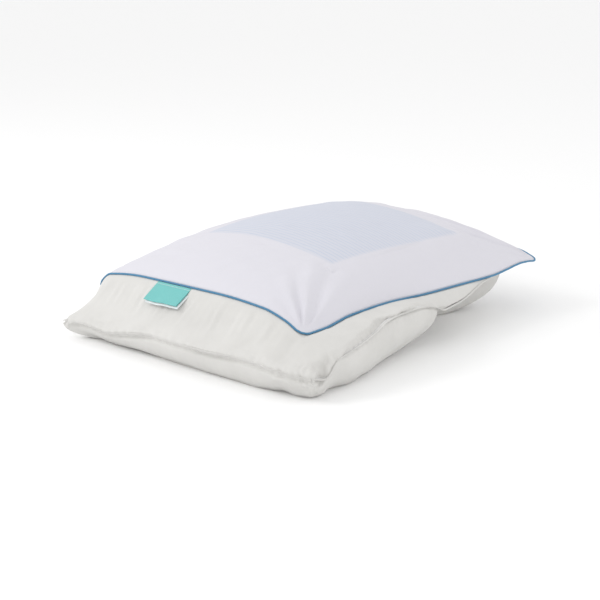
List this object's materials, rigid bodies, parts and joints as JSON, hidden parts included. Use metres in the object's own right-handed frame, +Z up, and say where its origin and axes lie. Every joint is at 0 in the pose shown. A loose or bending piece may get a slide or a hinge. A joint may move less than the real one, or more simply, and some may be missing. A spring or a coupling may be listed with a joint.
{
  "type": "bed pillow",
  "caption": "Plump fibre-filled bed pillow under a domed, blue-piped cover panel with a cooling gel pad and a folded side label.",
  "frame": {"origin": "on the surface the pillow lies on, under the middle of its bounding box", "axes": "+X along the long side away from the label, +Y along the short side, +Z up"},
  "size_m": [0.6813, 0.5323, 0.1804],
  "materials": {
    "inner_fabric": "thin warm off-white nonwoven",
    "cover_fabric": "smooth cool white cotton percale",
    "fibre": "loose polyester fibre",
    "thread": "spun polyester thread",
    "piping_fabric": "blue bias tape",
    "cord": "twisted cotton filler cord",
    "gel": "translucent pale blue gel",
    "pad_fabric": "thin pad fabric",
    "label_satin": "teal woven satin",
    "care_satin": "white woven satin"
  },
  "bodies": {
    "pillow": {"inner_shell_top": "inner_fabric", "inner_shell_bottom": "inner_fabric", "fibre_fill": "fibre", "seam_allowance": "inner_fabric", "overlock_thread": "thread", "closing_stitches": "thread", "cover_top_panel": "cover_fabric", "cover_edge_facing": "cover_fabric", "piping_sleeve": "piping_fabric", "piping_cord": "cord", "gel_pad_film": "pad_fabric", "gel_pad_backing": "pad_fabric", "gel_strips": "gel", "gel_pad_stitching": "thread", "tack_stitches": "thread"},
    "label": {"brand_label": "label_satin", "care_label": "care_satin", "label_stitches": "thread"}
  },
  "joints": [
    {"name": "label_hinge", "type": "hinge", "parent": "pillow", "child": "label", "pos_m": [-0.26954, 0.06705, 0.10919], "axis": [0, 1, 0], "range_deg": [0, 135]}
  ]
}
